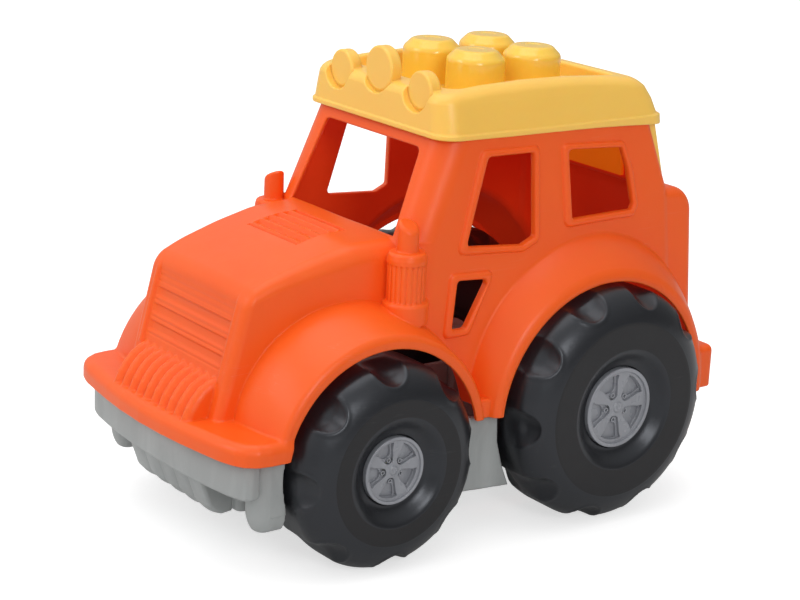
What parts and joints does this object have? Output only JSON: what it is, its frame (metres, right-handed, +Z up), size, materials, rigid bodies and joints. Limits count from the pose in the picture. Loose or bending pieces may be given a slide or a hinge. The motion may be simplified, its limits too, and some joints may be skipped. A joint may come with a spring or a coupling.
{
  "type": "toy tractor",
  "caption": "Chunky toy farm tractor with an open-window cab, block studs on its roof, wide fenders and free-rolling hollow wheels.",
  "frame": {"origin": "on the ground under the middle of the length and width of the tractor", "axes": "+X to the vehicle's left, +Y to its rear, +Z up; the front bumper faces -Y"},
  "size_m": [0.1672, 0.268, 0.2074],
  "materials": {
    "orange": "satin moulded polypropylene",
    "yellow": "semi-gloss moulded polypropylene",
    "grey": "satin moulded polypropylene with faint flow marks",
    "tyre": "semi-gloss blow-moulded black plastic",
    "hubcap": "satin silver-grey plastic",
    "nylon": "matte natural nylon",
    "steel": "zinc plated"
  },
  "bodies": {
    "tractor_body": {"body_shell": "orange", "roof_cap": "yellow", "chassis": "grey", "front_axle": "steel", "rear_axle": "steel", "axle_retainer_front_left": "nylon", "axle_retainer_front_right": "nylon", "axle_retainer_rear_left": "nylon", "axle_retainer_rear_right": "nylon", "chassis_screw_1": "steel", "chassis_screw_2": "steel", "chassis_screw_3": "steel", "chassis_screw_4": "steel"},
    "wheel_front_left": {"tyre_front_left": "tyre", "hubcap_front_left": "hubcap", "hub_sleeve_front_left": "nylon"},
    "wheel_front_right": {"tyre_front_right": "tyre", "hubcap_front_right": "hubcap", "hub_sleeve_front_right": "nylon"},
    "wheel_rear_left": {"tyre_rear_left": "tyre", "hubcap_rear_left": "hubcap", "hub_sleeve_rear_left": "nylon"},
    "wheel_rear_right": {"tyre_rear_right": "tyre", "hubcap_rear_right": "hubcap", "hub_sleeve_rear_right": "nylon"}
  },
  "joints": [
    {"name": "wheel_front_left_spin", "type": "hinge", "parent": "tractor_body", "child": "wheel_front_left", "pos_m": [0, -0.056, 0.045], "axis": [1, 0, 0], "continuous": true},
    {"name": "wheel_front_right_spin", "type": "hinge", "parent": "tractor_body", "child": "wheel_front_right", "pos_m": [0, -0.056, 0.045], "axis": [1, 0, 0], "continuous": true},
    {"name": "wheel_rear_left_spin", "type": "hinge", "parent": "tractor_body", "child": "wheel_rear_left", "pos_m": [0, 0.0635, 0.0534], "axis": [1, 0, 0], "continuous": true},
    {"name": "wheel_rear_right_spin", "type": "hinge", "parent": "tractor_body", "child": "wheel_rear_right", "pos_m": [0, 0.0635, 0.0534], "axis": [1, 0, 0], "continuous": true}
  ]
}
